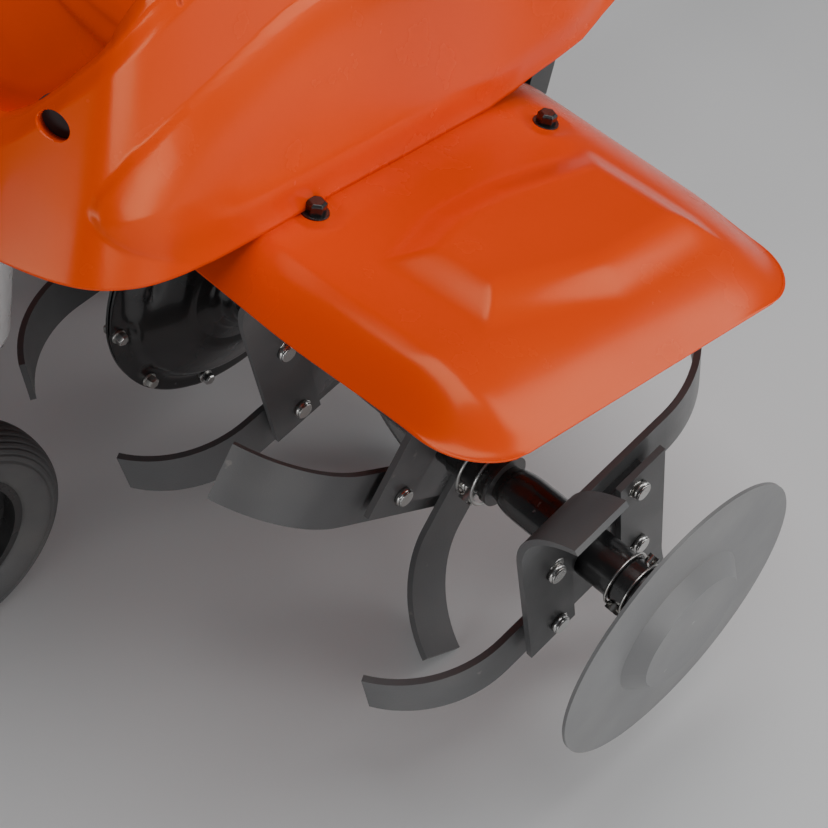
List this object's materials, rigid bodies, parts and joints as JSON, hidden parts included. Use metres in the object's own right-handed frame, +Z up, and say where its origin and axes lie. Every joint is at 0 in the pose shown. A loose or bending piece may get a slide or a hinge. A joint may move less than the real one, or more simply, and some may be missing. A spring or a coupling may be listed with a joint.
{
  "type": "walk-behind garden rotavator",
  "caption": "Petrol garden rotavator with front tines, steel fenders, a glossy front cover, side discs, a swing-down transport wheel, a rear drag stake and handlebars.",
  "frame": {"origin": "on the floor, straight under the middle of the rotor shaft", "axes": "+X forwards to the transport wheel, +Y to the machine's left, along the rotor shaft, +Z up"},
  "size_m": [1.5705, 0.957, 0.6925],
  "materials": {
    "orange_paint": "gloss orange enamel",
    "black_paint": "gloss black enamel",
    "tine_steel": "satin black stove paint",
    "disc_grey": "satin grey paint",
    "bright_steel": "zinc plated",
    "cast_alloy": "die cast",
    "black_plastic": "fine grain",
    "tyre_rubber": "treaded rubber",
    "rim_plastic": "moulded",
    "grip_rubber": "soft grip",
    "chrome": "polished"
  },
  "bodies": {
    "body": {"air_filter": "black_plastic", "chain_case_left": "black_paint", "chain_case_right": "black_paint", "cooling_shroud": "black_plastic", "engine_block": "cast_alloy", "engine_deck": "black_paint", "fender_left": "orange_paint", "fender_right": "orange_paint", "front_bumper": "black_paint", "front_cover": "orange_paint", "fuel_cap": "black_plastic", "fuel_tank": "black_plastic", "handlebar_column": "black_paint", "hitch": "black_paint", "muffler": "chrome", "muffler_guard": "chrome", "recoil_cover": "black_plastic", "starter_handle": "black_plastic", "wheel_mount": "bright_steel"},
    "rotor": {"inner_hub_left": "black_paint", "inner_hub_right": "black_paint", "inner_lock_pin_left": "bright_steel", "inner_lock_pin_right": "bright_steel", "inner_tines_left": "tine_steel", "inner_tines_right": "tine_steel", "outer_hub_left": "black_paint", "outer_hub_right": "black_paint", "outer_lock_pin_left": "bright_steel", "outer_lock_pin_right": "bright_steel", "outer_tines_left": "tine_steel", "outer_tines_right": "tine_steel", "protection_disc_left": "disc_grey", "protection_disc_right": "disc_grey", "rotor_shaft": "bright_steel"},
    "wheel": {"tyre": "tyre_rubber", "wheel_rim": "rim_plastic"},
    "wheel_arm": {"wheel_arm": "black_paint", "wheel_axle": "bright_steel"},
    "handlebars": {"clutch_lever": "black_plastic", "grips": "grip_rubber", "handle_console": "black_plastic", "handlebar_tubes": "black_paint", "reverse_lever": "black_plastic"},
    "stake": {"drag_stake": "bright_steel"}
  },
  "joints": [
    {"name": "rotor_spin", "type": "hinge", "parent": "body", "child": "rotor", "pos_m": [0, 0, 0.182], "axis": [0, 1, 0], "continuous": true},
    {"name": "wheel_arm_lift", "type": "hinge", "parent": "body", "child": "wheel_arm", "pos_m": [0.21312, 0, 0.25981], "axis": [0, -1, 0], "range_deg": [0, 75]},
    {"name": "wheel_spin", "type": "hinge", "parent": "wheel_arm", "child": "wheel", "pos_m": [0.3025, 0, 0.104], "axis": [0, 1, 0], "continuous": true},
    {"name": "handlebar_height", "type": "hinge", "parent": "body", "child": "handlebars", "pos_m": [-0.32357, 0, 0.35412], "axis": [0, 1, 0], "range_deg": [-14, 16]},
    {"name": "stake_height", "type": "slide", "parent": "body", "child": "stake", "axis": [-0.2588, 0, 0.9659], "range_m": [0, 0.12]}
  ]
}
